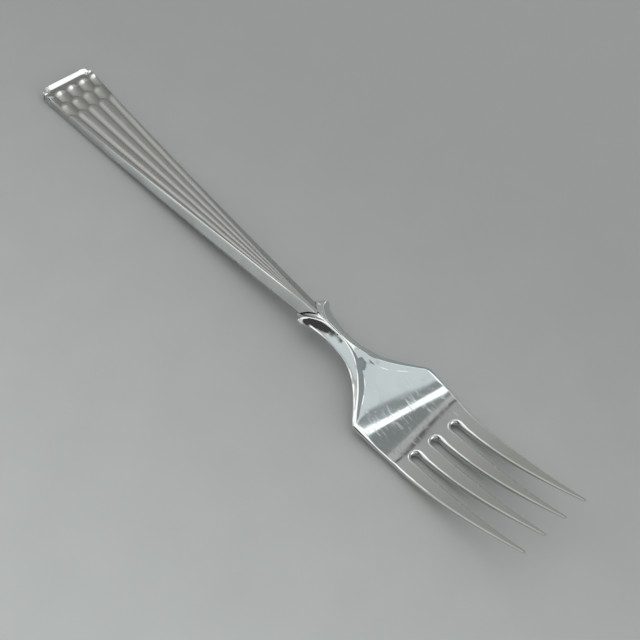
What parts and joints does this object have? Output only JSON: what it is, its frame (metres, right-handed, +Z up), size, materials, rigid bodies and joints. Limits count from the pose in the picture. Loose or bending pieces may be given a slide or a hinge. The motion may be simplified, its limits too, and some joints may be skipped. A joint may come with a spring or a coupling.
{
  "type": "dinner fork",
  "caption": "Dinner fork with a tapered reeded handle, a horned collar at a slim neck, a shallow bowl and upswept tines, for eating at table.",
  "frame": {"origin": "on the table, under the middle of the fork's length", "axes": "+X along the fork from the handle's end towards the tines, +Z up from the table, with the fork lying on its back"},
  "size_m": [0.203, 0.0258, 0.0147],
  "materials": {
    "polished_steel": "mirror polished, with fine scratches from use",
    "satin_steel": "soft polish on the reeds, duller in the grooves",
    "back_steel": "plain polish, scuffed where it rests on the table",
    "filler": "matte cement"
  },
  "bodies": {
    "root": {"fork_head": "polished_steel", "handle_front_shell": "satin_steel", "handle_back_shell": "back_steel", "handle_filler": "filler"}
  },
  "joints": []
}
